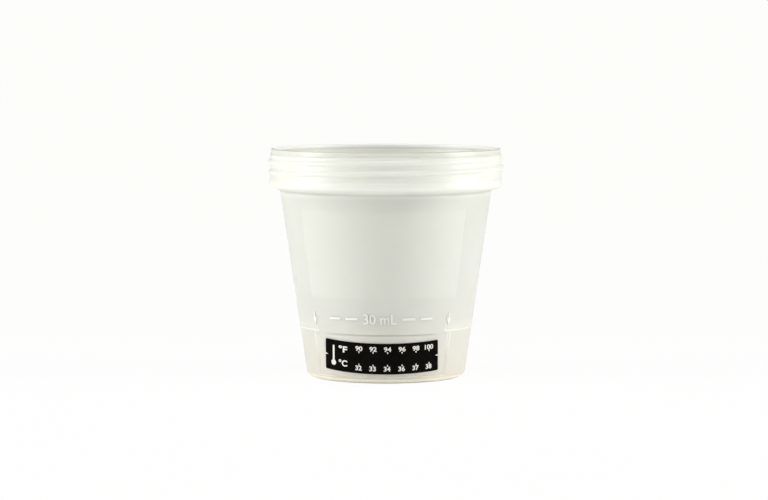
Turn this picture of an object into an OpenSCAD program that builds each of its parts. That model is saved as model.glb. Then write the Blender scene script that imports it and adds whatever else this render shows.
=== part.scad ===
// Open specimen cup: a tapered, single-walled plastic moulding with a stepped
// neck for a screw lid, a raised filling line, a frosted panel to write on, and
// a shallow seat that holds a stick-on temperature strip.
// The cup stands on z = 0 with its axis on Z, and its front faces -Y.

/* [Body] */
// Radius of the outside wall, carried straight down to the table
base_r = 25.42; // [23:0.02:28]
// Lean of the wall away from the axis, so that cups nest and leave the mould
draft_deg = 8.28; // [6:0.02:10]
// Height of the crease where the wall turns out under the shoulder
body_h = 60.45; // [58:0.05:72]
// Thickness of the wall
wall = 1.15; // [0.95:0.05:1.4]
// Outside radius between the wall and the foot
corner_r = 2.7; // [2:0.1:3.5]
// Radius inside the crease under the shoulder
crease_r = 1; // [0.4:0.1:1.5]

/* [Foot and floor] */
// Thickness of the floor
floor_t = 1.2; // [0.9:0.1:1.8]
// Height of the foot ring under the floor
foot_h = 0.8; // [0.5:0.1:1.2]
// Width of the flat land that the cup stands on
foot_w = 1.2; // [0.8:0.1:2]
// Diameter of the round pad left by the injection gate
gate_d = 6; // [4:0.5:9]
// Depth of the pad under the floor
gate_h = 0.3; // [0.2:0.05:0.4]

/* [Shoulder and neck] */
// Step outwards from the crease to the neck
shoulder_w = 3.25; // [2.6:0.05:4.5]
// Slope of the underside of the shoulder
shoulder_deg = 18; // [10:1:28]
// Rounding from the shoulder into the neck
shoulder_r = 2.2; // [1.6:0.1:2.4]
// Height from the crease to the rim
neck_h = 13.55; // [13:0.05:18]
// Thickness of the neck
neck_wall = 1.3; // [1:0.05:1.6]
// Height of the collar at the foot of the neck, above the crease
collar_h = 3.85; // [3.6:0.05:4.6]
// Proud step of the collar over the neck
collar_step = 0.2; // [0.1:0.02:0.3]
// Height of the plain land under the rim
land_h = 1.6; // [1.2:0.1:2]
// Set-in of the land from the neck
land_set = 0.35; // [0.2:0.05:0.5]
// Rounding of the rim's two edges
rim_r = 0.4; // [0.2:0.05:0.45]

/* [Screw thread] */
// Rise of the thread in one turn
pitch = 3.2; // [3:0.05:3.5]
// Height of the thread over the neck
thread_h = 0.6; // [0.4:0.05:0.8]
// Turns of thread
turns = 1.8; // [1.2:0.05:1.9]
// Height of the thread's start below the rim, at the middle of its crest
thread_drop = 2.85; // [2.8:0.05:3.2]
// Height of the thread's upper flank
flank_up = 1; // [0.7:0.05:1.1]
// Height of the flat on the thread's crest
crest_flat = 0.5; // [0.3:0.05:0.6]
// Height of the thread's lower flank
flank_low = 1.1; // [0.6:0.05:1.2]

/* [Filling line] */
// Height of the filling line
line_z = 16.5; // [16.3:0.05:18]
// Width of the line
line_w = 0.7; // [0.5:0.1:1]
// Proud height of the line
line_h = 0.2; // [0.1:0.02:0.3]
// Angle from the front to each end of the line, which stops over the seat
line_stop_deg = 46; // [42:0.5:47]
// Gap between the line and the points of the two arrows
arrow_gap = 1.9; // [1.5:0.1:3]
// Height of an arrow
arrow_h = 4.1; // [3:0.1:5]
// Width of an arrow's head
arrow_w = 1.9; // [1.4:0.1:2.6]
// Height of an arrow's head
arrow_head = 2.3; // [1.2:0.1:2.6]
// Width of an arrow's stem
arrow_stem = 0.55; // [0.4:0.05:0.8]
// Proud height of an arrow
arrow_t = 0.2; // [0.1:0.02:0.3]
// Angle of each arrow from the front
arrow_deg = 48.5; // [40:0.5:60]

/* [Writing panel] */
// Bottom edge of the panel
panel_z0 = 27.4; // [24:0.1:30]
// Height of the panel
panel_h = 27.9; // [20:0.1:29]
// Half the angle that the panel covers
panel_deg = 51.3; // [40:0.1:60]
// Turn of the panel's middle from the front
panel_turn = 1.3; // [0:0.1:4]
// Proud height of the panel
panel_t = 0.1; // [0.06:0.02:0.2]
// Corner radius of the panel
panel_r = 1.1; // [0.6:0.1:3]

/* [Strip seat] */
// Bottom edge of the seat
seat_z0 = 2.3; // [1.8:0.1:3]
// Top edge of the seat
seat_z1 = 15.8; // [15:0.1:16]
// Half the angle that the seat covers
seat_deg = 50.65; // [46:0.05:56]
// Depth of the seat
seat_d = 0.35; // [0.25:0.05:0.45]

/* [Temperature strip] */
// Width of the strip, measured straight across its ends
strip_w = 35.8; // [30:0.1:36.4]
// Height of the strip
strip_h = 10; // [9:0.1:10.5]
// Height of the strip's middle at the front
strip_z = 8.1; // [8:0.1:8.6]
// Tilt of the stuck-on strip, its right end down
strip_tilt = 0.55; // [0:0.05:1]
// Thickness of the laminated strip
strip_t = 0.2; // [0.15:0.01:0.25]
// Thickness of the adhesive behind the strip
glue_t = 0.03; // [0.02:0.01:0.05]
// Corner radius of the strip
strip_r = 0.4; // [0.2:0.1:1]

/* [Hidden] */
$fn = 180;
arc_steps = 10;                          // segments in a rounded corner
thread_start = -15;                      // angle of the thread's upper end, from +X
turn_steps = 60;                         // segments in a turn of the thread
fade_steps = 8;                          // segments over which an end of the thread fades
sink = 0.3;                              // how far raised forms reach into the wall
slope = tan(draft_deg);                  // radius gained per millimetre of height
wall_r = wall / cos(draft_deg);          // wall thickness measured along the radius
cup_h = body_h + neck_h;
crease_out = base_r + body_h * slope;    // outside radius at the crease
neck_r = crease_out + shoulder_w;
collar_r = neck_r + collar_step;
floor_z = foot_h + floor_t;              // top of the floor
foot_out = base_r + corner_r * slope - corner_r / cos(draft_deg);
foot_in = foot_out - foot_w;
ledge_deg = shoulder_deg;                // the inside ledge follows the shoulder
ledge_lift = wall / cos(ledge_deg);      // ledge above the shoulder's underside
// Radius and height where the inside wall turns out into the ledge
ledge_in = (crease_out - wall_r + ledge_lift * slope
            - crease_out * tan(ledge_deg) * slope) / (1 - tan(ledge_deg) * slope);
ledge_z = body_h + ledge_lift + (ledge_in - crease_out) * tan(ledge_deg);
neck_in = neck_r - neck_wall;

// Outside radius of the wall at a height
function out_r(z) = base_r + z * slope;

// Unit vector from one 2D point to another
function unit2(a, b) = (b - a) / norm(b - a);

// Points of an arc of radius r that rounds corner b between a and c
function corner_arc(a, b, c, r) =
    let (u = unit2(b, a), v = unit2(b, c),
         half = acos(u * v) / 2,
         mid = (u + v) / norm(u + v),
         centre = b + mid * r / sin(half),
         start = b + u * r / tan(half) - centre,
         finish = b + v * r / tan(half) - centre,
         a0 = atan2(start.y, start.x),
         turn = atan2(start.x * finish.y - start.y * finish.x, start * finish))
    [for (i = [0 : arc_steps])
        centre + r * [cos(a0 + turn * i / arc_steps), sin(a0 + turn * i / arc_steps)]];

// Outline through corners given as [x, y, radius]; a radius of 0 keeps the corner sharp
function rounded(corners) =
    let (n = len(corners), flat = [for (c = corners) [c.x, c.y]])
    [for (i = [0 : n - 1])
        each corners[i].z == 0 ? [flat[i]]
            : corner_arc(flat[(i + n - 1) % n], flat[i], flat[(i + 1) % n], corners[i].z)];

// A flat outline set on the leaning wall, at an angle from the front and a height
module on_wall(angle, z) {
    rotate([0, 0, angle])
        translate([0, -out_r(z), z])
            rotate([90 + draft_deg, 0, 0])
                children();
}

// A conical sheet that follows the wall, from inner to outer offset, between two heights
module wall_sheet(inner, outer, z0, z1) {
    rotate_extrude()
        polygon([
            [out_r(z0) + inner, z0],
            [out_r(z0) + outer, z0],
            [out_r(z1) + outer, z1],
            [out_r(z1) + inner, z1]
        ]);
}

// Section of the cup's shell: foot, wall, shoulder, collar, neck and rim, then back inside
module shell_section() {
    polygon(rounded([
        [0, foot_h, 0],
        [foot_in - foot_h * slope, foot_h, 0],
        [foot_in, 0, 0],
        [out_r(0), 0, corner_r],
        [crease_out, body_h, crease_r],
        [collar_r, body_h + (collar_r - crease_out) * tan(shoulder_deg), shoulder_r],
        [collar_r, body_h + collar_h - collar_step, 0],
        [neck_r, body_h + collar_h, 0],
        [neck_r, cup_h - land_h - land_set, 0],
        [neck_r - land_set, cup_h - land_h, 0],
        [neck_r - land_set, cup_h, rim_r],
        [neck_in, cup_h, rim_r],
        [neck_in, ledge_z + (neck_in - ledge_in) * tan(ledge_deg), shoulder_r - wall],
        [ledge_in, ledge_z, crease_r],
        [out_r(floor_z) - wall_r, floor_z, corner_r - wall],
        [0, floor_z, 0]
    ]));
}

// Round pad under the floor where the plastic entered the mould
module gate_pad() {
    translate([0, 0, foot_h - gate_h])
        cylinder(d = gate_d, h = gate_h + floor_t / 2);
}

// Raised line that marks the filling level, round the sides and the back
module filling_line() {
    rotate([0, 0, line_stop_deg - 90])
        rotate_extrude(angle = 360 - 2 * line_stop_deg)
            polygon([
                [out_r(line_z) - sink, line_z - line_w / 2],
                [out_r(line_z) + line_h, line_z - line_w / 6],
                [out_r(line_z) + line_h, line_z + line_w / 6],
                [out_r(line_z) - sink, line_z + line_w / 2]
            ]);
}

// Raised arrow that points down at the filling line
module arrow(angle) {
    on_wall(angle, line_z + arrow_gap)
        translate([0, 0, -sink])
            linear_extrude(height = arrow_t + sink)
                polygon([
                    [0, 0],
                    [arrow_w / 2, arrow_head],
                    [arrow_stem / 2, arrow_head],
                    [arrow_stem / 2, arrow_h],
                    [-arrow_stem / 2, arrow_h],
                    [-arrow_stem / 2, arrow_head],
                    [-arrow_w / 2, arrow_head]
                ]);
}

// Slightly proud frosted panel with rounded corners
module writing_panel() {
    z1 = panel_z0 + panel_h;
    low = out_r(panel_z0) * sin(panel_deg);
    high = out_r(z1) * sin(panel_deg);
    rotate([0, 0, panel_turn])
        intersection() {
            wall_sheet(-sink, panel_t, panel_z0, z1);
            rotate([90, 0, 0])
                linear_extrude(height = out_r(z1) + panel_t)
                    polygon(rounded([
                        [-low, panel_z0, panel_r],
                        [low, panel_z0, panel_r],
                        [high, z1, panel_r],
                        [-high, z1, panel_r]
                    ]));
        }
}

// Shallow seat for the strip, cut into the front of the wall
module strip_seat() {
    rotate([0, 0, -90 - seat_deg])
        rotate_extrude(angle = 2 * seat_deg)
            polygon([
                [out_r(seat_z0) - seat_d, seat_z0],
                [out_r(seat_z0) + line_h, seat_z0],
                [out_r(seat_z1) + line_h, seat_z1],
                [out_r(seat_z1) - seat_d, seat_z1]
            ]);
}

// Height of the thread at step i, from nothing at its ends to its full height
function thread_rise(i, steps) =
    thread_h * max(0.02, sin(90 * min(1, i / fade_steps, (steps - i) / fade_steps)));

// Section of the thread at one step, as [radius, height over the middle of the crest]
function thread_section(rise) = [
    [neck_r - sink, crest_flat / 2 + flank_up],
    [neck_r + rise, crest_flat / 2],
    [neck_r + rise, -crest_flat / 2],
    [neck_r - sink, -crest_flat / 2 - flank_low]
];

// Right-hand screw thread: its section is carried down a helix
module thread() {
    steps = ceil(turns * turn_steps);
    points = [for (i = [0 : steps])
        let (angle = thread_start - turns * 360 * i / steps,
             middle = cup_h - thread_drop - turns * pitch * i / steps)
        for (p = thread_section(thread_rise(i, steps)))
            [p.x * cos(angle), p.x * sin(angle), middle + p.y]];
    n = len(thread_section(thread_h));
    sides = [for (i = [0 : steps - 1], k = [0 : n - 1])
        let (a = i * n + k, b = i * n + (k + 1) % n)
        each [[a, b, b + n], [a, b + n, a + n]]];
    first_end = [for (k = [n - 1 : -1 : 0]) k];
    last_end = [for (k = [0 : n - 1]) steps * n + k];
    polyhedron(points, concat([first_end, last_end], sides));
}

// The moulded cup, one piece
module cup() {
    color([0.93, 0.94, 0.91])
        difference() {
            union() {
                rotate_extrude()
                    shell_section();
                gate_pad();
                thread();
                filling_line();
                arrow(-arrow_deg);
                arrow(arrow_deg);
                writing_panel();
            }
            strip_seat();
        }
}

// Stick-on temperature strip: a straight label wrapped round the cone, in its seat
module temperature_strip() {
    back = glue_t - seat_d;
    color([0.07, 0.07, 0.07])
        intersection() {
            wall_sheet(back, back + strip_t, seat_z0, seat_z1);
            on_wall(0, strip_z)
                translate([0, 0, -out_r(strip_z) / 2])
                    rotate([0, 0, -strip_tilt])
                        linear_extrude(height = out_r(strip_z))
                            polygon(rounded([
                                [-strip_w / 2, -strip_h / 2, strip_r],
                                [strip_w / 2, -strip_h / 2, strip_r],
                                [strip_w / 2, strip_h / 2, strip_r],
                                [-strip_w / 2, strip_h / 2, strip_r]
                            ]));
        }
}

cup();
temperature_strip();
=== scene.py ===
import math

import bpy
import numpy as np
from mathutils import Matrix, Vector


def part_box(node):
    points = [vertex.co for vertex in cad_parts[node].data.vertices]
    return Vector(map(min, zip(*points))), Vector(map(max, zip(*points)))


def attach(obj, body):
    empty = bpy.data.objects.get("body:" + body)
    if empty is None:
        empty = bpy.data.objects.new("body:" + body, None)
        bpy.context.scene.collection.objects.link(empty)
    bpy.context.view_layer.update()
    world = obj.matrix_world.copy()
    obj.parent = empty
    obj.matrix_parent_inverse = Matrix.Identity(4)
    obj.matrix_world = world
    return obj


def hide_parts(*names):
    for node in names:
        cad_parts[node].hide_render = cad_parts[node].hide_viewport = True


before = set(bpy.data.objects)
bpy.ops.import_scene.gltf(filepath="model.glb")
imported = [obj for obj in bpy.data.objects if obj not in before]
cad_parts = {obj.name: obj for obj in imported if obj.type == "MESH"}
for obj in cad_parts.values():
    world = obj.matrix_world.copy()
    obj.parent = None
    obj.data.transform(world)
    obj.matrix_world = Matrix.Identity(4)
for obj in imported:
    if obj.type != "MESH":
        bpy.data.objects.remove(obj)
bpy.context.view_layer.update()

# Sizes are in millimetres, and MM turns them into metres. Angles are in degrees.
MM = 0.001

# Body, foot and floor
base_r = 25.42         # radius of the outside wall, carried straight down to the table
draft_deg = 8.28       # lean of the wall away from the axis
body_h = 60.45         # height of the crease where the wall turns out under the shoulder
wall = 1.15            # thickness of the wall
corner_r = 2.7         # outside radius between the wall and the foot
crease_r = 1.0         # radius inside the crease
floor_t = 1.2          # thickness of the floor
foot_h = 0.8           # height of the foot ring under the floor
foot_w = 1.2           # width of the land that the cup stands on
gate_d = 6.0           # diameter of the pad left by the injection gate
gate_h = 0.3           # depth of that pad under the floor

# Shoulder, collar and neck
shoulder_w = 3.25      # step outwards from the crease to the neck
shoulder_deg = 18.0    # slope of the shoulder's underside
shoulder_r = 2.2       # rounding from the shoulder into the collar
neck_wall = 1.3        # thickness of the neck
collar_h = 3.85        # height of the collar's top over the crease
collar_step = 0.2      # proud step of the collar over the neck
land_h = 1.6           # height of the plain land under the rim
land_set = 0.35        # set-in of the land from the neck
rim_r = 0.4            # rounding of the rim's two edges
bead_h = 0.12          # swell of the corner between shoulder and collar
bead_w = 1.1           # width of that swell
bead_rise = 1.1        # height of its middle over the shoulder's outer edge

# Screw thread
pitch = 3.2            # rise in one turn
thread_h = 0.6         # height of the crest over the neck
thread_turns = 1.8     # turns of thread
thread_drop = 2.85     # height of the crest's start below the rim
thread_start_deg = 75.0    # angle of the upper end, to the right of the front
thread_fade_deg = 48.0     # angle over which an end grows to full height
flank_up = 0.67        # height of the upper flank
crest_flat = 0.5       # height of the flat on the crest
flank_low = 0.73       # height of the lower flank

# Filling line, and the figure, dashes and arrows over it
line_z = 16.5          # height of the line
line_w = 0.7           # width of the line
line_h = 0.2           # proud height of the line
line_stop_deg = 46.0   # angle from the front to each end of the line
line_fade_deg = 1.5    # half the angle over which an end of the line fades
mark_z = 20.9          # height of the middle of the figure
mark_h = 3.3           # height of the figure
mark_w = 10.6          # width of the figure
mark_weight = 0.012    # thickening of its strokes
mark_t = 0.2           # proud height of all marks
mark_sink = 0.1        # depth of all marks in the wall
dash_w = 4.2           # length of a dash
dash_h = 0.75          # height of a dash
dash_places = (9.2, 15.2)    # places of the dashes along the wall, on both sides of the front
arrow_deg = 48.5       # angle of each arrow from the front
arrow_gap = 1.9        # gap between the line and an arrow's point
arrow_h = 4.1          # height of an arrow
arrow_head = 2.3       # height of its head
arrow_w = 1.9          # width of its head
arrow_stem = 0.55      # width of its stem

# Writing panel
panel_z0 = 27.4        # height of the bottom edge
panel_h = 27.9         # height of the panel
panel_deg = 51.3       # half the angle that it covers
panel_turn = 1.3       # turn of its middle to the right of the front
panel_t = 0.1          # proud height
panel_r = 1.1          # corner radius
panel_edge = 0.12      # half the width of the soft edge

# Seat of the strip
seat_z0 = 2.3          # height of the bottom edge
seat_z1 = 15.8         # height of the top edge
seat_deg = 50.65       # half the angle that it covers
seat_d = 0.35          # depth
seat_ramp_top = 0.18   # half the width of its side ramps at the top edge
seat_ramp_add = 0.7    # by how much they are wider at the bottom edge

# Temperature strip
strip_w = 35.8         # width straight across its ends
strip_h = 10.0         # height
strip_z = 8.1          # height of its middle at the front
strip_t = 0.2          # thickness
glue_t = 0.03          # thickness of the adhesive behind it
strip_r = 0.4          # corner radius
strip_tilt_deg = -0.55     # turn of the stuck-on strip, its right end down

# Sizes that follow from the others
cup_lo, cup_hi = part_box("cup")
cup_h = (cup_hi[2] - cup_lo[2]) / MM
slope = math.tan(math.radians(draft_deg))
wall_across = wall / math.cos(math.radians(draft_deg))
crease_out = base_r + body_h * slope
neck_r = crease_out + shoulder_w
collar_r = neck_r + collar_step
neck_in = neck_r - neck_wall
floor_z = foot_h + floor_t
foot_out = base_r + corner_r * slope - corner_r / math.cos(math.radians(draft_deg))
foot_in = foot_out - foot_w
shoulder_slope = math.tan(math.radians(shoulder_deg))
ledge_lift = wall / math.cos(math.radians(shoulder_deg))
ledge_in = (crease_out - wall_across + ledge_lift * slope
            - crease_out * shoulder_slope * slope) / (1 - shoulder_slope * slope)
ledge_z = body_h + ledge_lift + (ledge_in - crease_out) * shoulder_slope
bead_z = body_h + (collar_r - crease_out) * shoulder_slope + bead_rise

# Fineness of the cup's mesh
COLUMNS = 320          # evenly spaced columns round the cup
ARC_LENGTH = 0.25      # longest step in a rounded corner of the section
EDGE_DEG = 0.2         # angle between columns at an edge that runs up the wall
STEP_Z = 0.02          # height between the two rows at a moulded edge

# Tones of the plastic, most of them painted light and shade: how much lighter or, below zero, darker than
# the plain wall a place is
neck_thickness_and_light = 0.165          # thick neck outside: partly whiter thick plastic, partly painted light
inside_neck_thickness_and_light = 0.2     # its inside: partly whiter thick plastic, partly painted light
painted_foot_light = 0.21           # foot: painted light for what the thick floor carries and the table bounces up
lip_shade = -0.45           # painted shade on the outer edge of the lip
lip_inside_light = 0.13     # painted light on the inner edge of the lip
step_shade = -0.18         # inside, behind the step under the land
line_highlight = 0.19           # painted highlight along the filling line
seat_side_highlight = 0.24      # painted highlight along the sides of the seat
seat_light = 0.07          # seat, a little below its top edge
seat_shade = -0.2          # shade along its top edge
floor_shade = -0.06        # outside, where the floor meets the wall
strip_shade = -0.2         # the same under the strip, which takes light out of the wall
crest_shade = -0.11        # upper flank of the thread
flank_light = 0.05         # foot of its lower flank

# Rings of painted light and shade round the outside, each with its tone, the height of its middle and its
# half width
LIGHT_AND_SHADE_RINGS = (
    (0.1, body_h - 0.8, 0.6),               # painted light on the wall under the crease, against the overhang's shade
    (-0.03, body_h + 0.1, 0.25),            # painted shade in the crease
    (0.13, body_h + 1.9, 0.5),              # painted highlight on the corner between shoulder and collar
    (-0.22, cup_h - land_h - 0.2, 0.3),     # painted shade on the step under the land
)


def out_r(z):
    """Outside radius of the leaning wall at a height."""
    return base_r + z * slope


# ---------------------------------------------------------------- mesh helpers


def unit(v):
    """A vector's direction."""
    return v / np.linalg.norm(v)


def smooth(edge0, edge1, x):
    """0 below edge0, 1 above edge1, and 3t^2 - 2t^3 between them."""
    t = np.clip((x - edge0) / (edge1 - edge0), 0, 1)
    return t * t * (3 - 2 * t)


def bell(x, middle, width):
    """exp(-((x - middle) / width)^2), a smooth hump."""
    return np.exp(-((x - middle) / width) ** 2)


def corner_arc(before, corner, after, radius):
    """Arc that rounds a corner: its centre lies on the bisector, radius / sin(half the angle) away."""
    u, v = unit(before - corner), unit(after - corner)
    half = math.acos(float(u @ v)) / 2
    centre = corner + unit(u + v) * radius / math.sin(half)
    start = corner + u * radius / math.tan(half) - centre
    finish = corner + v * radius / math.tan(half) - centre
    turn = math.atan2(start[0] * finish[1] - start[1] * finish[0], float(start @ finish))
    steps = math.ceil(abs(turn) * radius / ARC_LENGTH) + 4
    angle = math.atan2(start[1], start[0]) + turn * np.linspace(0, 1, steps + 1)
    return centre + radius * np.c_[np.cos(angle), np.sin(angle)]


def rounded_path(corners):
    """Open path through [radius, height, rounding] corners, each rounded by an arc where it asks for
    one."""
    points = [np.array(c[:2], float) for c in corners]
    path = []
    for i, (point, corner) in enumerate(zip(points, corners)):
        if corner[2]:
            path.extend(corner_arc(points[i - 1], point, points[i + 1], corner[2]))
        else:
            path.append(point)
    return np.array(path)


def insert_rows(path, heights):
    """The path with a point added at each of the heights that a long stretch of it passes."""
    rows = [path[0]]
    for a, b in zip(path[:-1], path[1:]):
        if abs(b[1] - a[1]) > 1:
            low, high = sorted((a[1], b[1]))
            inside = [h for h in heights if low + STEP_Z / 2 < h < high - STEP_Z / 2]
            for h in sorted(inside, reverse=b[1] < a[1]):
                rows.append(a + (b - a) * (h - a[1]) / (b[1] - a[1]))
        rows.append(b)
    return np.array(rows)


def mesh_piece(name, points, faces, material, body="root", sharp_deg=35):
    """A piece of the object from points in millimetres, smooth up to an angle, riding on a body."""
    mesh = bpy.data.meshes.new(name)
    mesh.from_pydata(np.asarray(points) * MM, [], faces)
    mesh.validate()
    mesh.shade_smooth()
    mesh.set_sharp_from_angle(angle=math.radians(sharp_deg))
    piece = bpy.data.objects.new(name, mesh)
    bpy.context.scene.collection.objects.link(piece)
    mesh.materials.append(material)
    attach(piece, body)
    return piece


def point_value(piece, name, values):
    """Stores one number for each vertex, for the material to read."""
    piece.data.attributes.new(name, "FLOAT", "POINT").data.foreach_set("value", np.asarray(values, float))


# ---------------------------------------------------------------- cup


def cup_section():
    """Half section of the cup from the gate pad, up the outside, over the rim and down to the middle
    of the floor, as [radius, height] rows, and the number of rows up to the top of the rim. Straight
    stretches get close rows wherever the relief or the tone changes fast."""
    outside = rounded_path([
        [gate_d / 2, foot_h - gate_h, 0],
        [gate_d / 2, foot_h, 0],
        [foot_in - foot_h * slope, foot_h, 0],
        [foot_in, 0, 0],
        [base_r, 0, corner_r],
        [crease_out, body_h, crease_r],
        [collar_r, body_h + (collar_r - crease_out) * shoulder_slope, shoulder_r],
        [collar_r, body_h + collar_h - collar_step, 0],
        [neck_r, body_h + collar_h, 0],
        [neck_r, cup_h - land_h - land_set, 0],
        [neck_r - land_set, cup_h - land_h, 0],
        [neck_r - land_set, cup_h, rim_r],
        [neck_in, cup_h, 0],
    ])[:-1]
    inside = rounded_path([
        [neck_r - land_set - rim_r, cup_h, 0],
        [neck_in, cup_h, rim_r],
        [neck_in, ledge_z + (neck_in - ledge_in) * shoulder_slope, shoulder_r - wall],
        [ledge_in, ledge_z, crease_r],
        [out_r(floor_z) - wall_across, floor_z, corner_r - wall],
        *[[radius, floor_z, 0] for radius in (16.0, 8.0, 2.0)],
    ])[1:]
    edges = [z + s for z in (seat_z0, seat_z1) for s in (-STEP_Z / 2, STEP_Z / 2)]
    edges += [seat_z1 - 0.15 * k for k in range(1, 11)]
    line = line_z + line_w * np.linspace(-0.5, 0.5, 7)
    panel = np.arange(panel_z0 - 0.4, panel_z0 + panel_h + 0.4, 0.95)
    thread = np.arange(body_h + collar_h + 0.1, cup_h - land_h - land_set, 0.17)
    crease = np.arange(body_h - 2.4, body_h - 0.3, 0.3)
    outside = insert_rows(outside, [*np.linspace(3.5, 14.5, 6), *edges, *line, 20, 24,
                                    *panel, *crease, *thread])
    inside = insert_rows(inside, [*np.linspace(8, 56, 7), 66, 70, *np.arange(cup_h - 3, cup_h - 0.4, 0.15)])
    return np.vstack([outside, inside]), len(outside)


def cup_columns():
    """Angles round the cup from the front, positive to the right, with close columns at each side of
    the seat and at each end of the filling line."""
    even = np.linspace(-180, 180, COLUMNS, endpoint=False)
    close = np.array([side * (edge + step * EDGE_DEG) for side in (-1, 1)
                      for edge, count in ((seat_deg, 12), (line_stop_deg, 8))
                      for step in range(-count, count + 1)])
    clear = np.abs(even[:, None] - close).min(1) > EDGE_DEG * 0.6
    return np.radians(np.sort(np.concatenate([even[clear], close])))


def panel_cover(angle, z):
    """1 on the writing panel and 0 off it: the distance to a trapezium with rounded corners, taken in
    the plane that faces the front, so that the sides of the panel run up the cone."""
    across = np.abs(out_r(z) * np.sin(angle - math.radians(panel_turn)))
    facing = np.cos(angle - math.radians(panel_turn)) > 0
    beyond_side = across - out_r(z) * math.sin(math.radians(panel_deg)) + panel_r
    beyond_end = np.abs(z - panel_z0 - panel_h / 2) - panel_h / 2 + panel_r
    distance = (np.hypot(np.maximum(beyond_side, 0), np.maximum(beyond_end, 0))
                + np.minimum(np.maximum(beyond_side, beyond_end), 0) - panel_r)
    return np.where(facing, smooth(panel_edge, -panel_edge, distance), 0)


def over_turns(angle, z):
    """For each turn of the thread: the height over the middle of its crest, which falls by one pitch
    in a turn to the left, and its growth, which is a quarter sine at its ends."""
    length = 360 * thread_turns
    for turn in range(-1, 3):
        along = thread_start_deg - np.degrees(angle) + 360 * turn
        end = np.clip(np.minimum(along, length - along) / thread_fade_deg, 0, 1)
        yield z - (cup_h - thread_drop - pitch * along / 360), np.sin(end * math.pi / 2)


def thread_relief(angle, z):
    """Height of the screw thread: a buttress section with a rounded crest."""
    height = np.zeros(np.broadcast(angle, z).shape)
    for above, growth in over_turns(angle, z):
        flank = np.where(above > 0, crest_flat / 2 + flank_up - above, crest_flat / 2 + flank_low + above)
        rise = smooth(0, 1, flank / np.where(above > 0, flank_up, flank_low)) * growth
        height = np.maximum(height, rise)
    return thread_h * height


def seat_cover(angle, z):
    """1 in the strip seat and 0 off it: sharp at its top and bottom, while its sides are ramps that
    widen towards the foot."""
    beyond = (np.abs(angle) - math.radians(seat_deg)) * out_r(z)
    ramp = seat_ramp_top + seat_ramp_add * smooth(seat_z1, seat_z0, z)
    return smooth(ramp, -ramp, beyond) * ((z > seat_z0) & (z < seat_z1))


def line_cover(angle):
    """1 where the filling line runs, round the sides and the back, and 0 over the seat."""
    return smooth(line_stop_deg - line_fade_deg, line_stop_deg + line_fade_deg, np.abs(np.degrees(angle)))


def cup_relief(angle, z):
    """How far the outside stands proud of the plain section: the thread on the neck, the bell-shaped
    swell of the collar's corner, the filling line as a ridge with a flat top, the panel, and the seat,
    which goes the other way."""
    neck = (z > body_h + collar_h) & (z < cup_h - land_h)
    ridge = np.clip((line_w / 2 - np.abs(z - line_z)) / (line_w / 3), 0, 1)
    return (np.where(neck, thread_relief(angle, z), 0)
            + bead_h * bell(z, bead_z, bead_w / 2)
            + line_h * smooth(0, 1, ridge) * line_cover(angle)
            + panel_t * panel_cover(angle, z)
            - seat_d * seat_cover(angle, z))


def outside_tone(angle, z):
    """Factor on the colour of the outside, which paints light and shade into it: 1 plus the amount of each
    place times how much of a point lies there. Thick places are lighter, partly for the thick plastic and
    partly as painted light. Moulded places get painted highlights, and painted shades lie where a step or
    the strip would take light away. Painted light and shade even out the thread's flanks."""
    from_front = np.abs(np.degrees(angle))
    over_seat = smooth(seat_deg - 8, seat_deg - 17, from_front)     # clear of the seat's corners
    under_strip = smooth(50, 15, from_front)
    # Painted highlight along the sides of the seat
    seat_side_glint = bell(np.abs(angle) * out_r(z), math.radians(seat_deg) * out_r(z), 0.5)
    seat_side_glint = seat_side_glint * smooth(seat_z0 + 4, seat_z0 + 11, z) * smooth(seat_z1 + 0.2, seat_z1, z)
    # Painted shade on the thread's upper flank and painted light at the foot of its lower flank
    thread = sum(growth * (flank_light * bell(above, -0.8, 0.45) + crest_shade * bell(above, 0.3, 0.35))
                 for above, growth in over_turns(angle, z))
    return (1 + thread + sum(tone_and_painted_light * bell(z, middle, width) for tone_and_painted_light, middle, width in LIGHT_AND_SHADE_RINGS)
            + neck_thickness_and_light * smooth(body_h, body_h + 0.4, z)
            + lip_shade * smooth(cup_h - 0.5, cup_h - 0.25, z)
            + painted_foot_light * smooth(1.7, 1.2, z)
            + (floor_shade + strip_shade * under_strip) * bell(z, floor_z - 0.15, 0.4)
            + line_highlight * bell(z, line_z, 0.35) * line_cover(angle)
            + seat_side_highlight * seat_side_glint
            + seat_light * bell(z, seat_z1 - 0.75, 0.3) * over_seat
            + seat_shade * bell(z, seat_z1 - 0.08, 0.28) * over_seat)


def inside_tone(z):
    """Factor on the colour of the inside: the thick neck is lighter, partly for the thick plastic and
    partly as painted light, a painted shade lies where the step under the land would take light away behind
    the wall, and the lip over it gets painted light."""
    return (1 + inside_neck_thickness_and_light * smooth(body_h, body_h + 4, z)
            + step_shade * smooth(cup_h - 1.9, cup_h - 1.5, z) * smooth(cup_h - 0.9, cup_h - 1.3, z)
            + lip_inside_light * smooth(cup_h - 0.9, cup_h - 0.5, z))


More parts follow.
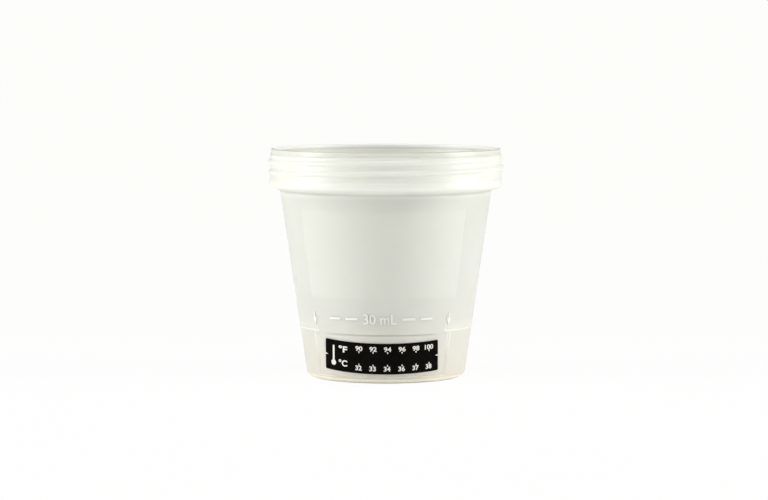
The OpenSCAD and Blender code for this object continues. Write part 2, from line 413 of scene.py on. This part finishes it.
def build_cup(material):
    """The cup as one closed surface: each row of the section is turned round the axis, the radius of
    an outside row gains the relief at each angle, and a pole closes the underside and the floor."""
    section, outside_rows = cup_section()
    angle = cup_columns()
    rows, columns = len(section), len(angle)
    radius = np.repeat(section[:, :1], columns, 1)
    z = np.repeat(section[:, 1:], columns, 1)
    leaning = np.arange(rows)[:, None] < outside_rows
    on_wall = leaning & (z > corner_r * 0.8) & (radius > foot_out)
    radius = radius + np.where(on_wall, cup_relief(angle[None, :], z), 0)
    grid = np.stack([radius * np.sin(angle), -radius * np.cos(angle), z], -1).reshape(-1, 3)
    poles = [[0, 0, foot_h - gate_h], [0, 0, floor_z]]
    row, column = np.meshgrid(np.arange(rows - 1), np.arange(columns), indexing="ij")
    following = (column + 1) % columns
    quads = np.stack([row * columns + column, row * columns + following,
                      (row + 1) * columns + following, (row + 1) * columns + column], -1).reshape(-1, 4)
    ring = np.arange(columns)
    after = (ring + 1) % columns
    last = (rows - 1) * columns
    under = np.stack([np.full(columns, rows * columns), after, ring], -1)
    floor = np.stack([np.full(columns, rows * columns + 1), last + ring, last + after], -1)
    faces = quads.tolist() + under.tolist() + floor.tolist()
    cup = mesh_piece("cup_moulding", np.vstack([grid, poles]), faces, material)
    cover = np.where(on_wall, panel_cover(angle[None, :], z), 0)
    # Painted light and shade, and the lighter thick neck, go to the material as a vertex attribute
    tone_and_painted_light = np.where(leaning, outside_tone(angle[None, :], z), inside_tone(z))
    point_value(cup, "frosted", np.append(cover.ravel(), [0, 0]))
    point_value(cup, "tone_and_painted_light", np.append(tone_and_painted_light.ravel(), [1, 1]))
    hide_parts("cup")
    return cup


# ---------------------------------------------------------------- outlines set on the cone


def on_cone(across, up, z_mid, proud, tilt_deg=0.0):
    """Points on the leaning wall for a flat label wrapped round it: a point of the label's own plane,
    which touches the wall at the front at height z_mid, is carried along the plane's normal until its
    distance from the axis is the wall's radius plus proud. The step is the root of a quadratic."""
    lean, tilt = math.radians(draft_deg), math.radians(tilt_deg)
    right = np.array([1.0, 0, 0])
    upward = np.array([0, -math.sin(lean), math.cos(lean)])
    normal = np.array([0, -math.cos(lean), -math.sin(lean)])
    u = across * math.cos(tilt) - up * math.sin(tilt)
    v = across * math.sin(tilt) + up * math.cos(tilt)
    start = np.array([0, -out_r(z_mid), z_mid]) + u[..., None] * right + v[..., None] * upward
    radius = base_r + proud + start[..., 2] * slope
    gain = normal[2] * slope
    a = normal[1] ** 2 - gain ** 2
    b = 2 * (start[..., 1] * normal[1] - radius * gain)
    c = start[..., 0] ** 2 + start[..., 1] ** 2 - radius ** 2
    step = (-b + np.sqrt(b * b - 4 * a * c)) / (2 * a)
    return start + step[..., None] * normal


def around_cone(across, up, z_mid, proud):
    """Points on the leaning wall at an arc length from the front and a height above z_mid."""
    z = z_mid + up * math.cos(math.radians(draft_deg))
    radius = out_r(z) + proud
    angle = across / out_r(z_mid)
    return np.stack([radius * np.sin(angle), -radius * np.cos(angle), z + 0 * across], -1)


def glyphs(text, width, height, weight=0.0):
    """Flat letters as a closed slab one unit thick, centred and brought to a width and a height."""
    curve = bpy.data.curves.new("glyphs", "FONT")
    curve.body = text
    curve.extrude = 0.5
    curve.offset = weight
    curve.resolution_u = 5
    holder = bpy.data.objects.new("glyphs", curve)
    bpy.context.scene.collection.objects.link(holder)
    bpy.context.view_layer.update()
    mesh = bpy.data.meshes.new_from_object(holder)
    points = np.array([v.co[:] for v in mesh.vertices])
    faces = [list(p.vertices) for p in mesh.polygons]
    bpy.data.objects.remove(holder)
    bpy.data.curves.remove(curve)
    bpy.data.meshes.remove(mesh)
    low, high = points.min(0), points.max(0)
    return (points - (low + high) / 2) * [width / (high[0] - low[0]), height / (high[1] - low[1]), 1], faces


def slab(outline):
    """A closed slab one unit thick over a convex outline that runs anticlockwise."""
    outline = np.asarray(outline, float)
    n = len(outline)
    points = np.vstack([np.c_[outline, np.full(n, -0.5)], np.c_[outline, np.full(n, 0.5)]])
    sides = [[i, (i + 1) % n, n + (i + 1) % n, n + i] for i in range(n)]
    return points, [list(range(n - 1, -1, -1)), list(range(n, 2 * n)), *sides]


def bar(width, height, parts=8):
    """A closed bar one unit thick, with its long sides cut into parts."""
    x = np.linspace(-width / 2, width / 2, parts + 1)
    grid = np.array([[[a, b, c] for a in x] for b, c in
                     ((-height / 2, -0.5), (height / 2, -0.5), (height / 2, 0.5), (-height / 2, 0.5))])
    n = parts + 1
    sides = [[k * n + i, (k + 1) % 4 * n + i, (k + 1) % 4 * n + i + 1, k * n + i + 1]
             for k in range(4) for i in range(parts)]
    ends = [[3 * n, 2 * n, n, 0], [parts, n + parts, 2 * n + parts, 3 * n + parts]]
    return grid.reshape(-1, 3), sides + ends


def disc(diameter, steps=20):
    """A closed round slab one unit thick."""
    angle = np.linspace(0, 2 * math.pi, steps, endpoint=False)
    return slab(np.c_[np.cos(angle), np.sin(angle)] * diameter / 2)


def gather(items, place, thickness, depth):
    """Joins slabs, each given as (points, faces, across, up), into one mesh on a curved surface: the
    slab's own thickness becomes the stated thickness, from depth below the surface outwards."""
    points, faces = [], []
    start = 0
    for shape, shape_faces, across, up in items:
        proud = (shape[:, 2] + 0.5) * thickness - depth
        points.append(place(shape[:, 0] + across, shape[:, 1] + up, proud))
        faces += [[start + i for i in f] for f in shape_faces]
        start += len(shape)
    return np.vstack(points), faces


def build_filling_marks(material):
    """Raised marks over the filling line: the volume, a dash on each side of it, and two arrows."""
    arrow_at = math.radians(arrow_deg) * out_r(mark_z)
    tip = (line_z + arrow_gap - mark_z) / math.cos(math.radians(draft_deg))
    stem_h = arrow_h - arrow_head
    head = slab([[0, 0], [arrow_w / 2, arrow_head], [-arrow_w / 2, arrow_head]])
    stem = bar(arrow_stem, stem_h, 1)
    items = [(*glyphs("30 mL", mark_w, mark_h, mark_weight), 0.0, 0.0)]
    items += [(*bar(dash_w, dash_h), side * place, 0.0) for side in (-1, 1) for place in dash_places]
    items += [(*head, side * arrow_at, tip) for side in (-1, 1)]
    items += [(*stem, side * arrow_at, tip + arrow_head + stem_h / 2) for side in (-1, 1)]
    points, faces = gather(items, lambda x, y, proud: around_cone(x, y, mark_z, proud),
                           mark_t + mark_sink, mark_sink)
    return mesh_piece("filling_marks", points, faces, material, sharp_deg=30)


# ---------------------------------------------------------------- temperature strip

strip_back = glue_t - seat_d
strip_front = strip_back + strip_t

# The print: places are measured along the strip from its middle and up from its middle line
print_t = 0.012            # thickness of the print over the strip
stroke = 0.03              # thickening of the numbers' strokes
sign_stroke = 0.035        # thickening of the unit signs' strokes
fahrenheit_row = (90, 92, 94, 96, 98, 100)
celsius_row = (32, 33, 34, 36, 37, 38)
number_first = -6.95       # place of the first number
number_step = 4.63         # spacing of the numbers
number_h = 1.6             # height of a number
upper_w = 2.35             # width of two figures in the upper row
hundred_w = 3.1            # width of three figures
lower_w = 2.15             # width of two figures in the lower row
upper_up = 3.15            # height of the upper row
lower_up = -3.25           # height of the lower row
lower_shift = -0.15        # the lower row stands a little to the left
pointer_w = 0.56           # width of a pointer
pointer_h = 0.7            # height of a pointer
pointer_ups = (1.9, -2.05)     # heights of the two rows of pointers
sign_place = -12.6         # place of the unit signs
sign_w = 3.2               # width of a unit sign
sign_h = 2.2               # height of a unit sign
sign_ups = (2.4, -2.2)     # heights of the two unit signs
tube_place = -16.2         # place of the thermometer sign
tube_w = 0.75              # width of its tube
tube_h = 5.2               # height of its tube
tube_up = 0.4              # height of its tube's middle
bulb_d = 1.9               # diameter of its bulb
bulb_up = -2.4             # height of its bulb
cut_l = 1.1                # length of a cutting mark
cut_w = 0.6                # width of a cutting mark


def on_strip(along, up, proud):
    """Points over the face of the strip, from a length along it and a height across it."""
    radius = out_r(strip_z) + strip_front
    across = radius * np.sin(along / radius)
    return on_cone(across, up, strip_z, strip_front + proud, strip_tilt_deg)


def build_strip(material):
    """The strip as a closed sheet: a grid across a rectangle with rounded corners, wrapped on the
    cone once for its face and once for its back, and joined along its edges."""
    columns, rows = 96, 12
    x = np.concatenate([-strip_w / 2 + strip_r * (1 - np.cos(np.linspace(0, math.pi / 2, 5)))[:-1],
                        np.linspace(-strip_w / 2 + strip_r, strip_w / 2 - strip_r, columns - 7),
                        strip_w / 2 - strip_r * (1 - np.cos(np.linspace(math.pi / 2, 0, 5)))[1:]])
    near_end = np.maximum(np.abs(x) - (strip_w / 2 - strip_r), 0)
    half = strip_h / 2 - strip_r + np.sqrt(np.maximum(strip_r ** 2 - near_end ** 2, 0))
    y = np.linspace(-1, 1, rows + 1)[:, None] * half[None, :]
    x = np.repeat(x[None, :], rows + 1, 0)
    face = on_cone(x, y, strip_z, strip_front, strip_tilt_deg)
    back = on_cone(x, y, strip_z, strip_back, strip_tilt_deg)
    n = x.shape[1]
    r, c = np.meshgrid(np.arange(rows), np.arange(n - 1), indexing="ij")
    quads = np.stack([r * n + c, r * n + c + 1, (r + 1) * n + c + 1, (r + 1) * n + c], -1).reshape(-1, 4)
    count = (rows + 1) * n
    rim = np.concatenate([np.arange(n), np.arange(1, rows + 1) * n + n - 1,
                          rows * n + np.arange(n - 2, -1, -1), np.arange(rows - 1, 0, -1) * n])
    following = np.roll(rim, -1)
    edge = np.stack([rim, rim + count, following + count, following], -1)
    faces = quads.tolist() + (quads[:, ::-1] + count).tolist() + edge.tolist()
    points = np.vstack([face.reshape(-1, 3), back.reshape(-1, 3)])
    strip = mesh_piece("temperature_strip_sheet", points, faces, material)
    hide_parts("temperature_strip")
    return strip


def build_strip_print(material):
    """Pale print: two rows of plain numbers, a pointer for each, unit signs, a thermometer sign and
    the two cutting marks at the ends."""
    items = []
    pointer, pointer_faces = slab([[0, -pointer_h / 2], [pointer_w / 2, pointer_h / 2],
                                   [-pointer_w / 2, pointer_h / 2]])
    for k, (fahrenheit, celsius) in enumerate(zip(fahrenheit_row, celsius_row)):
        at = number_first + k * number_step
        width = upper_w if fahrenheit < 100 else hundred_w
        items.append((*glyphs(str(fahrenheit), width, number_h, stroke), at, upper_up))
        items.append((*glyphs(str(celsius), lower_w, number_h, stroke), at + lower_shift, lower_up))
        items.append((pointer, pointer_faces, at, pointer_ups[0]))
        items.append((pointer * [1, -1, -1], pointer_faces, at, pointer_ups[1]))
    for sign, up in zip(("°F", "°C"), sign_ups):
        items.append((*glyphs(sign, sign_w, sign_h, sign_stroke), sign_place, up))
    items.append((*disc(bulb_d), tube_place, bulb_up))
    items.append((*bar(tube_w, tube_h, 1), tube_place, tube_up))
    items.append((*disc(tube_w), tube_place, tube_up + tube_h / 2))
    end = out_r(strip_z) * math.asin(strip_w / 2 / out_r(strip_z))
    cut, cut_faces = slab([[0, -cut_w / 2], [cut_l, 0], [0, cut_w / 2]])
    items.append((cut, cut_faces, -end, 0.0))
    items.append((cut * [-1, -1, 1], cut_faces, end, 0.0))
    points, faces = gather(items, on_strip, 2 * print_t, print_t)
    return mesh_piece("strip_print", points, faces, material, sharp_deg=30)


# ---------------------------------------------------------------- materials


def new_material(name):
    """An empty node material with its principled shader and output, and its node tree."""
    material = bpy.data.materials.new(name)
    material.use_nodes = True
    tree = material.node_tree
    return material, tree, tree.nodes["Principled BSDF"]


def link(tree, source, target):
    """Joins an output socket to an input socket."""
    tree.links.new(source, target)


def fine_grain_group():
    """Shared effect: a fine spark-eroded grain. Height is noise on object coordinates with two finer
    octaves, at one over the grain size in metres."""
    group = bpy.data.node_groups.new("fine_grain", "ShaderNodeTree")
    group.interface.new_socket("Grain Size", in_out="INPUT", socket_type="NodeSocketFloat")
    group.interface.new_socket("Height", in_out="OUTPUT", socket_type="NodeSocketFloat")
    inputs = group.nodes.new("NodeGroupInput")
    outputs = group.nodes.new("NodeGroupOutput")
    coords = group.nodes.new("ShaderNodeTexCoord")
    divide = group.nodes.new("ShaderNodeMath")
    divide.operation = "DIVIDE"
    divide.inputs[0].default_value = 1.0
    noise = group.nodes.new("ShaderNodeTexNoise")
    noise.inputs["Detail"].default_value = 2.0
    link(group, inputs.outputs["Grain Size"], divide.inputs[1])
    link(group, coords.outputs["Object"], noise.inputs["Vector"])
    link(group, divide.outputs[0], noise.inputs["Scale"])
    link(group, noise.outputs["Fac"], outputs.inputs["Height"])
    return group


def use_group(tree, group, **values):
    """A node that places a shared group, with its inputs set by name."""
    node = tree.nodes.new("ShaderNodeGroup")
    node.node_tree = group
    for name, value in values.items():
        node.inputs[name.replace("_", " ")].default_value = value
    return node


def mix_colour(tree, factor, a, b):
    """Mix of two colours, either of which may be a socket or a value."""
    node = tree.nodes.new("ShaderNodeMix")
    node.data_type = "RGBA"
    for socket, value in ((node.inputs["Factor"], factor), (node.inputs["A"], a), (node.inputs["B"], b)):
        if isinstance(value, (tuple, float, int)):
            socket.default_value = value
        else:
            link(tree, value, socket)
    return node.outputs["Result"]


def remap(tree, value, low, high, to_low, to_high, kind="SMOOTHSTEP"):
    """A value spread from one range to another."""
    node = tree.nodes.new("ShaderNodeMapRange")
    node.interpolation_type = kind
    link(tree, value, node.inputs["Value"])
    for name, number in zip(("From Min", "From Max", "To Min", "To Max"), (low, high, to_low, to_high)):
        node.inputs[name].default_value = number
    return node.outputs["Result"]


GRAIN = fine_grain_group()


def natural_polypropylene():
    """Milky polypropylene: light scatters inside the wall, the skin is satin, and the writing panel is
    frosted by a fine grain. The wall looks warmer towards the foot, and the thick foot most of all. A
    vertex attribute then makes places lighter or darker: mostly painted light and shade on moulded places
    and steps, and partly the whiter look of thick plastic."""
    material, tree, shader = new_material("natural_polypropylene")
    coords = tree.nodes.new("ShaderNodeTexCoord")
    split = tree.nodes.new("ShaderNodeSeparateXYZ")
    link(tree, coords.outputs["Object"], split.inputs[0])
    cloud = tree.nodes.new("ShaderNodeTexNoise")
    cloud.inputs["Scale"].default_value = 55.0
    cloud.inputs["Detail"].default_value = 1.0
    link(tree, coords.outputs["Object"], cloud.inputs["Vector"])
    frosted = tree.nodes.new("ShaderNodeAttribute")
    frosted.attribute_name = "frosted"
    clouded = mix_colour(tree, remap(tree, cloud.outputs["Fac"], 0.3, 0.7, 0.0, 1.0),
                         (0.695, 0.705, 0.67, 1), (0.72, 0.73, 0.692, 1))
    low_wall = remap(tree, split.outputs["Z"], 3 * MM, 26 * MM, 1.0, 0.0)
    foot = remap(tree, split.outputs["Z"], 0.5 * MM, 3.2 * MM, 1.0, 0.0)
    warmed = mix_colour(tree, low_wall, clouded, (0.73, 0.715, 0.655, 1))
    warmed = mix_colour(tree, foot, warmed, (0.805, 0.75, 0.65, 1))
    panelled = mix_colour(tree, frosted.outputs["Fac"], warmed, (0.73, 0.74, 0.70, 1))
    # The vertex attribute scales the colour: painted light and shade, and the lighter thick plastic
    tone_and_painted_light = tree.nodes.new("ShaderNodeAttribute")
    tone_and_painted_light.attribute_name = "tone_and_painted_light"
    colour_with_painted_light = tree.nodes.new("ShaderNodeVectorMath")
    colour_with_painted_light.operation = "SCALE"
    link(tree, panelled, colour_with_painted_light.inputs["Vector"])
    link(tree, tone_and_painted_light.outputs["Fac"], colour_with_painted_light.inputs["Scale"])
    link(tree, colour_with_painted_light.outputs["Vector"], shader.inputs["Base Color"])
    link(tree, remap(tree, frosted.outputs["Fac"], 0, 1, 0.34, 0.6, "LINEAR"), shader.inputs["Roughness"])
    grain = use_group(tree, GRAIN, Grain_Size=0.35 * MM)
    bump = tree.nodes.new("ShaderNodeBump")
    bump.inputs["Distance"].default_value = 0.03 * MM
    link(tree, remap(tree, frosted.outputs["Fac"], 0, 1, 0.08, 0.6, "LINEAR"), bump.inputs["Strength"])
    link(tree, grain.outputs["Height"], bump.inputs["Height"])
    link(tree, bump.outputs["Normal"], shader.inputs["Normal"])
    shader.inputs["Subsurface Weight"].default_value = 1.0
    shader.inputs["Subsurface Radius"].default_value = (1.0, 1.0, 0.85)
    shader.inputs["Subsurface Scale"].default_value = 1.8 * MM
    shader.inputs["IOR"].default_value = 1.49
    return material


def raised_marks_plastic():
    """The raised figure, dashes and arrows: the same plastic, polished, with a painted highlight that makes
    it whiter where it stands proud."""
    material, tree, shader = new_material("polished_highlit_polypropylene")
    grain = use_group(tree, GRAIN, Grain_Size=0.5 * MM)
    # Whiter than the wall as a painted highlight
    shade = mix_colour(tree, remap(tree, grain.outputs["Height"], 0.3, 0.7, 0.0, 1.0),
                       (0.885, 0.89, 0.855, 1), (0.925, 0.925, 0.895, 1))
    link(tree, shade, shader.inputs["Base Color"])
    shader.inputs["Roughness"].default_value = 0.3
    shader.inputs["IOR"].default_value = 1.49
    return material


def black_laminate():
    """Black film under a clear laminate: near black, satin, with a soft unevenness in its gloss."""
    material, tree, shader = new_material("black_laminate")
    coords = tree.nodes.new("ShaderNodeTexCoord")
    noise = tree.nodes.new("ShaderNodeTexNoise")
    noise.inputs["Scale"].default_value = 400.0
    noise.inputs["Detail"].default_value = 3.0
    link(tree, coords.outputs["Object"], noise.inputs["Vector"])
    shade = mix_colour(tree, remap(tree, noise.outputs["Fac"], 0.35, 0.7, 0.0, 1.0),
                       (0.0030, 0.0026, 0.0018, 1), (0.0045, 0.0040, 0.0030, 1))
    link(tree, shade, shader.inputs["Base Color"])
    link(tree, remap(tree, noise.outputs["Fac"], 0.3, 0.7, 0.16, 0.24), shader.inputs["Roughness"])
    shader.inputs["IOR"].default_value = 1.45
    shader.inputs["Specular IOR Level"].default_value = 0.03
    return material


def pale_ink():
    """Matt off-white print with a slightly uneven cover."""
    material, tree, shader = new_material("pale_ink")
    grain = use_group(tree, GRAIN, Grain_Size=0.2 * MM)
    shade = mix_colour(tree, remap(tree, grain.outputs["Height"], 0.3, 0.7, 0.0, 1.0),
                       (0.74, 0.73, 0.68, 1), (0.88, 0.87, 0.83, 1))
    link(tree, shade, shader.inputs["Base Color"])
    shader.inputs["Roughness"].default_value = 0.55
    return material


# ---------------------------------------------------------------- stage, lights and camera


BACKDROP = (0.98, 0.982, 0.955, 1)


def build_floor():
    """A wide pale floor. The camera sees mostly its plain colour, which goes over into the backdrop's
    with distance, and a share of it as lit, so that the cup's shadow stays."""
    mesh = bpy.data.meshes.new("floor")
    half = 3.0
    corners = [(-half, -half, 0), (half, -half, 0), (half, half, 0), (-half, half, 0)]
    mesh.from_pydata(corners, [], [(0, 1, 2, 3)])
    floor = bpy.data.objects.new("floor", mesh)
    bpy.context.scene.collection.objects.link(floor)
    material, tree, shader = new_material("white_floor")
    shader.inputs["Base Color"].default_value = (0.9, 0.9, 0.89, 1)
    shader.inputs["Roughness"].default_value = 0.8
    shader.inputs["Specular IOR Level"].default_value = 0.0
    glow = tree.nodes.new("ShaderNodeEmission")
    path = tree.nodes.new("ShaderNodeLightPath")
    share = tree.nodes.new("ShaderNodeMath")
    share.operation = "MULTIPLY"
    coords = tree.nodes.new("ShaderNodeTexCoord")
    split = tree.nodes.new("ShaderNodeSeparateXYZ")
    link(tree, coords.outputs["Object"], split.inputs[0])
    far = remap(tree, split.outputs["Y"], -0.1, 0.9, 0.0, 1.0)
    link(tree, remap(tree, split.outputs["Y"], 0.1, 0.7, 0.94, 1.0), share.inputs[1])
    link(tree, mix_colour(tree, far, (1, 1, 1, 1), BACKDROP), glow.inputs["Color"])
    mix = tree.nodes.new("ShaderNodeMixShader")
    link(tree, path.outputs["Is Camera Ray"], share.inputs[0])
    link(tree, share.outputs[0], mix.inputs["Fac"])
    link(tree, shader.outputs[0], mix.inputs[1])
    link(tree, glow.outputs[0], mix.inputs[2])
    link(tree, mix.outputs[0], tree.nodes["Material Output"].inputs["Surface"])
    mesh.materials.append(material)


def build_world():
    """A light tent: nearly white to the camera, and for the light an even soft glow."""
    world = bpy.data.worlds.new("tent")
    bpy.context.scene.world = world
    world.use_nodes = True
    tree = world.node_tree
    tree.nodes.clear()
    output = tree.nodes.new("ShaderNodeOutputWorld")
    tent = tree.nodes.new("ShaderNodeBackground")
    tent.inputs["Color"].default_value = (1.0, 0.995, 0.97, 1)
    tent.inputs["Strength"].default_value = 0.39
    white = tree.nodes.new("ShaderNodeBackground")
    white.inputs["Color"].default_value = BACKDROP
    path = tree.nodes.new("ShaderNodeLightPath")
    mix = tree.nodes.new("ShaderNodeMixShader")
    link(tree, path.outputs["Is Camera Ray"], mix.inputs["Fac"])
    link(tree, tent.outputs[0], mix.inputs[1])
    link(tree, white.outputs[0], mix.inputs[2])
    link(tree, mix.outputs[0], output.inputs["Surface"])


# Name, azimuth from the front in degrees, then in metres the distance from the axis, the height, the
# height it is aimed at, its width and its height, and last its power in watts
SOFTBOXES = (
    ("left_box", -75, 0.9, 0.35, 0.35, 0.35, 0.7, 4.8),
    ("right_box", 85, 0.9, 0.35, 0.35, 0.35, 0.7, 4.9),
    ("left_low", -75, 0.9, 0.12, 0.12, 0.35, 0.22, 0.76),
    ("right_low", 85, 0.9, 0.12, 0.12, 0.35, 0.22, 0.76),
    ("high_box", 5, 0.35, 0.8, 0.04, 0.6, 0.6, 2.5),
)


def softbox(name, azimuth, distance, z, aim_z, width, height, power):
    """A rectangular soft lamp that faces the axis at the height it is aimed at."""
    lamp = bpy.data.lights.new(name, "AREA")
    lamp.shape = "RECTANGLE"
    lamp.size = width
    lamp.size_y = height
    lamp.energy = power
    lamp.color = (1.0, 0.99, 0.965)
    holder = bpy.data.objects.new(name, lamp)
    turn = math.radians(azimuth)
    holder.location = (distance * math.sin(turn), -distance * math.cos(turn), z)
    target = Vector((0, 0, aim_z))
    holder.rotation_euler = (target - holder.location).to_track_quat("-Z", "Y").to_euler()
    bpy.context.scene.collection.objects.link(holder)


def build_camera():
    """The camera stands just under a metre off, a little above the rim and to the right of the front,
    and looks slightly down."""
    distance, height = 0.9743, 0.1125
    azimuth, down = math.radians(3.8), math.radians(4.205)
    aim_left = 0.0006
    camera = bpy.data.cameras.new("camera")
    camera.sensor_width = 36.0
    camera.lens = 141.05
    holder = bpy.data.objects.new("camera", camera)
    back = Vector((math.sin(azimuth), -math.cos(azimuth), 0))
    right = Vector((math.cos(azimuth), math.sin(azimuth), 0))
    holder.location = back * distance + Vector((0, 0, height))
    ahead = -back * math.cos(down) - Vector((0, 0, math.sin(down)))
    aim = holder.location + ahead * distance - right * aim_left
    holder.rotation_euler = (aim - holder.location).to_track_quat("-Z", "Y").to_euler()
    bpy.context.scene.collection.objects.link(holder)
    bpy.context.scene.camera = holder


def main():
    """Makes the pieces of the object, then the stage, the lights and the camera."""
    plastic = natural_polypropylene()
    build_cup(plastic)
    build_filling_marks(raised_marks_plastic())
    build_strip(black_laminate())
    build_strip_print(pale_ink())
    build_floor()
    build_world()
    for lamp in SOFTBOXES:
        softbox(*lamp)
    build_camera()
    bpy.context.scene.view_settings.view_transform = "Standard"


main()
